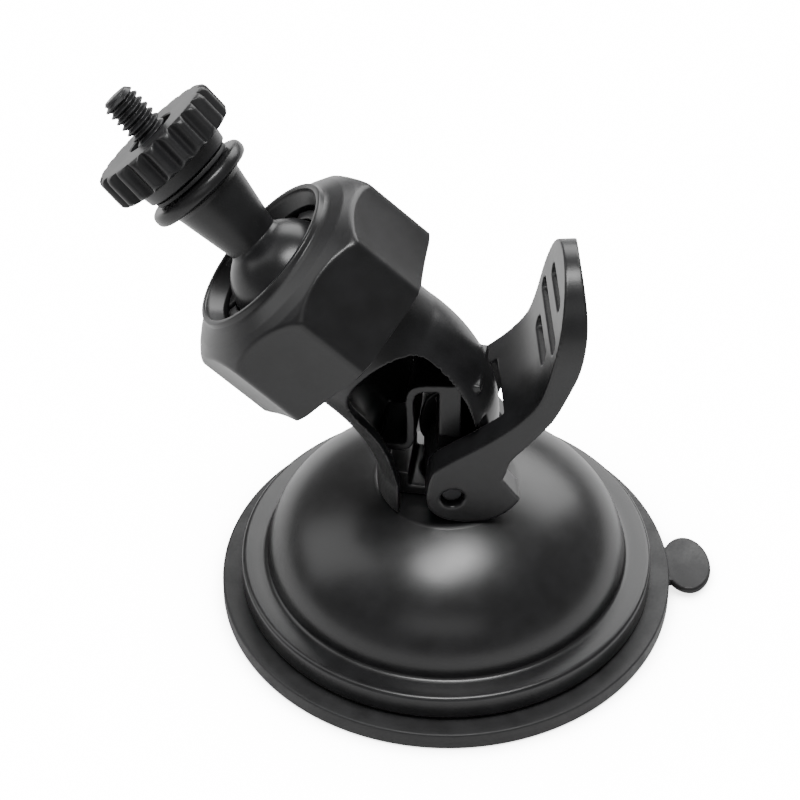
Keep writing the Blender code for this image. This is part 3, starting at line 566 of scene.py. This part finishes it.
for op, t in tools:
    cut(arm, t, 'UNION' if op == "U" else 'DIFFERENCE')
applied(arm)
drop(*[t for _, t in tools])
moulded_edges(arm, 0.26, 4)
arm.data.materials.clear()
arm.data.materials.append(MAT["arm"])
done(arm, "base", "arm_plastic", "arm")

# ---------------------------------------------------------------- cam lever
INNER_EDGE = ((-4.5, 0.3), (-4.1, 3.3), (-3.1, 6.2), (-0.3, 8.5), (4.3, 11.5), (8.5, 14.6), (11.8, 17.7), (14.3, 21.1),
              (15.6, 25.0), (16.7, 30.4), (17.7, 36.0), (18.4, 41.0), (18.9, 45.2))
OUTER_EDGE = ((21.3, 45.2), (21.9, 41.0), (22.2, 36.8), (21.9, 32.4), (21.0, 27.2), (19.3, 22.4), (17.2, 17.5), (15.2, 14.6), (12.3, 11.0),
              (9.9, 8.0), (9.2, 5.4))
CAM_R0, CAM_K, CAM_DEG = 5.8, 4.6, 60.0


def cam_point(a):
    p = CAM_R0 + CAM_K * a
    return (p * math.sin(a) + CAM_K * math.cos(a), -p * math.cos(a) + CAM_K * math.sin(a))


cam_end = math.radians(CAM_DEG + 3)
cams = [cam_point(cam_end * (1 - i / 40)) for i in range(41)]
tip = cams[0]
loop = (spline(INNER_EDGE, 8) + spline(OUTER_EDGE, 8) + [(8.6, 3.9), (tip[0] - 0.7, tip[1] + 0.9)] + cams
        + [(2.2, -CAM_R0)] + spline(((0.6, -5.5), (-1.6, -4.8), (-3.5, -3.2), (-4.3, -1.6)), 6))
lever = prism("cam_lever_moulding", loop, -LEVER_HALF, LEVER_HALF, None, LEVER_FRAME, 'Y')
end_loop = [(-LEVER_HALF, -14), (LEVER_HALF, -14)] + [
    (LEVER_HALF * math.cos(math.pi * i / 60), 29.6 + 14.5 * math.sin(math.pi * i / 60)) for i in range(61)]
tools = [("I", prism("end_tool", end_loop, -12, 30, None, LEVER_FRAME, 'X')),
         ("D", prism("throat_tool", ((-9, -12), (15.2, -12), (15.2, 9.4), (12.6, 10.6), (10.2, 12.8), (8.6, 15.6), (-9, 15.6)), -CHEEK_IN, CHEEK_IN, None, LEVER_FRAME, 'Y')),
         ("D", rod("pin_tool", 2.05, -15, 15, LEVER_FRAME @ Y_TURN))]
for i, (x, z, half) in enumerate(((15.5, 24.9, 5.6), (16.7, 30.4, 9.4), (17.8, 36.6, 5.6))):
    tilt = Matrix.Translation(Vector((x, 0, z)) * MM) @ Matrix.Rotation(math.radians(76), 4, 'Y')
    w = 1.25
    ov = [(w * math.cos(math.pi * j / 16), half - w + w * math.sin(math.pi * j / 16)) for j in range(17)]
    ov += [(w * math.cos(math.pi + math.pi * j / 16), -half + w + w * math.sin(math.pi + math.pi * j / 16)) for j in range(17)]
    tools.append(("D", prism("slot_tool_%d" % i, ov, -8, 10, None, LEVER_FRAME @ tilt, 'Z')))
for op, t in tools:
    cut(lever, t, {"I": 'INTERSECT', "D": 'DIFFERENCE'}[op])
applied(lever)
drop(*[t for _, t in tools])
moulded_edges(lever, 0.22, 7)
lever.data.materials.clear()
lever.data.materials.append(MAT["lever"])
done(lever, "lever", "lever_plastic", "cam_lever")

# ---------------------------------------------------------------- clamp nut
NUT_R, NUT_TOP, NUT_PHASE, LIP_R = 21.1, 20.2, math.radians(24.0), (13.6, 14.85)
APOTHEM = NUT_R * math.cos(math.radians(22.5)) + 0.1


def eight_sided(t):
    """Polar radius of the nut's sides: eight slightly hollow flats, soft corners."""
    best = []
    for k in range(8):
        d = (t - NUT_PHASE - math.radians(22.5 + 45 * k) + math.pi) % (2 * math.pi) - math.pi
        if abs(d) < math.radians(50):
            u = math.tan(d) / math.tan(math.radians(22.5))
            best.append((APOTHEM - 0.42 * max(0.0, 1 - u * u)) / math.cos(d))
    best.sort()
    return smin(best[0], best[1], 0.9) if len(best) > 1 else best[0]


outer_run = path_points([(15.7, 18.6), (17.6, 17.55), (19.3, 16.3), (20.3, 15.4), (21.3, 14.1), (22.3, 12.5), (22.8, 11.4)], 0.22)
side_run = path_points([(23.2, 11.2), (23.2, 1.5)], 0.9)
foot_run = path_points([(22.8, 1.2), (21.2, 0.45), (20.4, 0.12)], 0.15)
nut_profile = ([(r, z, False, 0) for r, z in rounded([(LIP_R[0], NUT_TOP - 0.8), (LIP_R[0] + 0.1, NUT_TOP), (LIP_R[1] - 0.2, NUT_TOP), (LIP_R[1], NUT_TOP - 1.0), (15.4, 18.75)], 0.35, 5)]
               + [(r, z, True, 0.5) for r, z in outer_run] + [(r, z, True, 0.5) for r, z in side_run] + [(r, z, True, 0.4) for r, z in foot_run]
               + [(19.0, 0.0, False, 0), (16.5, 0.0, False, 0)]
               + [(r, z, False, 0) for r, z in rounded([(14.4, 0), (13.25, 0), (13.25, 2), (13.25, 10.0), (12.15, 16.6), (12.15, 17.4), (13.45, NUT_TOP - 1.0)], 0.4, 4)])
nut = lobed("clamp_nut_moulding", nut_profile, eight_sided, 512, MAT["nut"], NUT_FRAME)
done(nut, "nut", "nut_plastic", "clamp_nut")

# ---------------------------------------------------------------- ball stud, screw, washer, thumbwheel
N0, N1 = (8.7, 4.65), (19.8, 6.65)
FL, WASHER, WHEEL = (20.9, 23.5, 9.7), (23.8, 24.6, 7.6), (27.6, 34.0, 12.1)
a0 = math.asin(N0[1] / BALL_R)
ball = [(BALL_R * math.sin(a0 + (math.pi - a0) * i / 60), BALL_R * math.cos(a0 + (math.pi - a0) * i / 60)) for i in range(61)]
ball[-1] = (0, -BALL_R)
stud = turned("ball_stud_moulding", [(0, 12.5)] + rounded([(3.25, 12.5), (3.25, FL[1])], 0.2)
              + rounded([(3.6, FL[1]), (FL[2], FL[1]), (FL[2], FL[0]), (N1[1] + 0.5, FL[0] + 0.05), (N1[1], N1[0]), (6.2, 17.2)], 1.25, 7)
              + rounded([(5.9, 15.6), (4.68, 9.1), ball[1]], 0.15) + ball[2:], MAT["stud"], STUD_FRAME, 192)
done(stud, "stud", "stud_plastic", "ball_stud")

PITCH, CREST, ROOT, TIP, START = 1.27, 3.12, 2.42, 42.4, 12.8
turns = 84
rows = [START + (TIP - START) * i / 640 for i in range(641)]
bm = bmesh.new()
rings = []
for z in rows:
    ring = []
    for i in range(turns):
        t = 2 * math.pi * i / turns
        if z > 24.5:
            u = ((z / PITCH - t / (2 * math.pi)) % 1.0)
            d = abs(u - 0.5) * 2                      # 0 at the crest, 1 at the root
            f = min(1.0, max(0.0, (d - 0.13) / 0.72))
            f = f * f * (3 - 2 * f) * 0.35 + f * 0.65
            r = CREST - (CREST - ROOT) * f
        else:
            r = CREST - 0.1
        r = min(r, 2.25 + (TIP - z) * 0.85)
        ring.append(bm.verts.new((r * math.cos(t) * MM, r * math.sin(t) * MM, z * MM)))
    rings.append(ring)
for a, b in zip(rings, rings[1:]):
    for i in range(turns):
        bm.faces.new((a[i], a[(i + 1) % turns], b[(i + 1) % turns], b[i]))
for ring, z in ((rings[0], START), (rings[-1], TIP)):
    c = bm.verts.new((0, 0, z * MM))
    for i in range(turns):
        bm.faces.new((ring[i], ring[(i + 1) % turns], c))
bmesh.ops.recalc_face_normals(bm, faces=bm.faces)
screw = link("tripod_screw_thread", from_bm("tripod_screw_thread", bm), MAT["screw"], STUD_FRAME, 50)
done(screw, "stud", "screw_black", "tripod_screw")

washer = turned("wheel_washer_ring", rounded([(5.0, WASHER[1]), (WASHER[2], WASHER[1]), (WASHER[2], WASHER[0]), (5.0, WASHER[0])], 0.2)
                + [(3.4, WASHER[0]), (3.4, WASHER[1])], MAT["washer"], STUD_FRAME, 128)
done(washer, "washer", "washer_plastic", "wheel_washer")

LOBES = 21


def scallops(t):
    c = math.cos(LOBES * t)
    return WHEEL[2] - 0.66 + 0.66 * (1.0 - 2.0 * (0.5 - 0.5 * c) ** 1.35)


wheel_run = path_points([(11.3, WHEEL[1] - 0.02), (11.8, WHEEL[1] - 0.3), (12.3, WHEEL[1] - 0.9), (12.9, WHEEL[1] - 1.5), (13.3, WHEEL[1] - 2.2)], 0.2)
wheel_side = path_points([(13.6, WHEEL[1] - 2.5), (13.6, WHEEL[0] + 2.0)], 0.6)
wheel_foot = path_points([(13.3, WHEEL[0] + 1.9), (12.4, WHEEL[0] + 0.9), (11.6, WHEEL[0] + 0.25), (10.9, WHEEL[0])], 0.2)
wheel_profile = ([(r, z, False, 0) for r, z in ((3.4, 31.8), (4.45, 31.8), (4.6, 31.9), (4.6, 33.8), (4.8, 34.0), (7.0, 34.0), (9.5, 34.0), (10.4, 34.0))]
                 + [(r, z, True, 0.5) for r, z in wheel_run + wheel_side + wheel_foot]
                 + [(10.0, WHEEL[0], False, 0)]
                 + [(r, z, False, 0) for r, z in rounded([(9.2, WHEEL[0]), (8.6, WHEEL[0] - 0.2), (8.2, 24.9), (6.0, 24.9)], 0.4, 4)]
                 + [(3.4, 24.9, False, 0), (3.4, 28.0, False, 0)])
wheel = lobed("thumbwheel_moulding", wheel_profile, scallops, LOBES * 24, MAT["wheel"], STUD_FRAME)
done(wheel, "wheel", "wheel_plastic", "thumbwheel")

# ---------------------------------------------------------------- CAD pieces that stay, with their own finish and eased edges
for node, key in (("pull_stem", "stem"), ("lever_pin", "pin"), ("ball_seat", "seat"), ("arm_screw_a", "zinc"), ("arm_screw_b", "zinc")):
    o = NODES[node]
    o.data.materials.clear()
    o.data.materials.append(MAT[key])
    b = o.modifiers.new("eased", 'BEVEL')
    b.width, b.segments, b.limit_method, b.angle_limit = 0.12 * MM, 2, 'ANGLE', math.radians(40)

# ---------------------------------------------------------------- floor and light
bm = bmesh.new()
bmesh.ops.create_grid(bm, x_segments=8, y_segments=8, size=2.5)
floor = link("floor", from_bm("floor", bm), None, Matrix.Translation((0, 0, -0.0002)), 0)
m, nt, b = node_material("floor_paper_painted_shadow")
b.inputs["Base Color"].default_value = (0.86, 0.86, 0.86, 1)
b.inputs["Roughness"].default_value = 0.9
b.inputs["Specular IOR Level"].default_value = 0.0
path = nt.nodes.new("ShaderNodeLightPath")
ao = nt.nodes.new("ShaderNodeAmbientOcclusion")
ao.inputs["Distance"].default_value = 0.03
ao.samples = 8
# Seen by the camera, the floor is a glowing backdrop whose strength drops near the parts through ambient occlusion: a
# painted contact shadow. Other rays see the lit paper.
backdrop_glow_painted_shadow = nt.nodes.new("ShaderNodeEmission")
nt.links.new(ramp(nt, ao.outputs["AO"], 3.0, 16.0, 0.30, 0.92), backdrop_glow_painted_shadow.inputs["Strength"])
mix = nt.nodes.new("ShaderNodeMixShader")
nt.links.new(path.outputs["Is Camera Ray"], mix.inputs["Fac"])
nt.links.new(b.outputs["BSDF"], mix.inputs[1])
nt.links.new(backdrop_glow_painted_shadow.outputs["Emission"], mix.inputs[2])
nt.links.new(mix.outputs["Shader"], nt.nodes["Material Output"].inputs["Surface"])
floor.data.materials.append(m)
floor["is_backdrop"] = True

w = bpy.data.worlds.new("studio")
scene.world = w
w.use_nodes = True
w.node_tree.nodes["Background"].inputs[0].default_value = (1, 1, 1, 1)
w.node_tree.nodes["Background"].inputs[1].default_value = 0.27


def softbox(name, pos, look, size, size_y, power):
    d = bpy.data.lights.new(name, 'AREA')
    d.shape, d.size, d.size_y, d.energy = 'RECTANGLE', size, size_y, power
    o = bpy.data.objects.new(name, d)
    scene.collection.objects.link(o)
    o.location = pos
    o.rotation_mode = 'QUATERNION'
    o.rotation_quaternion = (Vector(look) - Vector(pos)).to_track_quat('-Z', 'Y')
    return o


softbox("overhead", (0.035, -0.06, 0.78), (0.0, -0.02, 0.02), 0.36, 0.20, 5.6)
softbox("front", (0.06, -0.72, 0.55), (0.01, -0.02, 0.02), 0.70, 0.30, 0.7)
softbox("left_top", (-0.78, 0.10, 0.66), (-0.02, 0, 0.05), 0.60, 0.90, 3.4)
softbox("back", (0.15, 0.85, 0.60), (0, 0, 0.05), 1.1, 0.6, 11.0)

lo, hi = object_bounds()
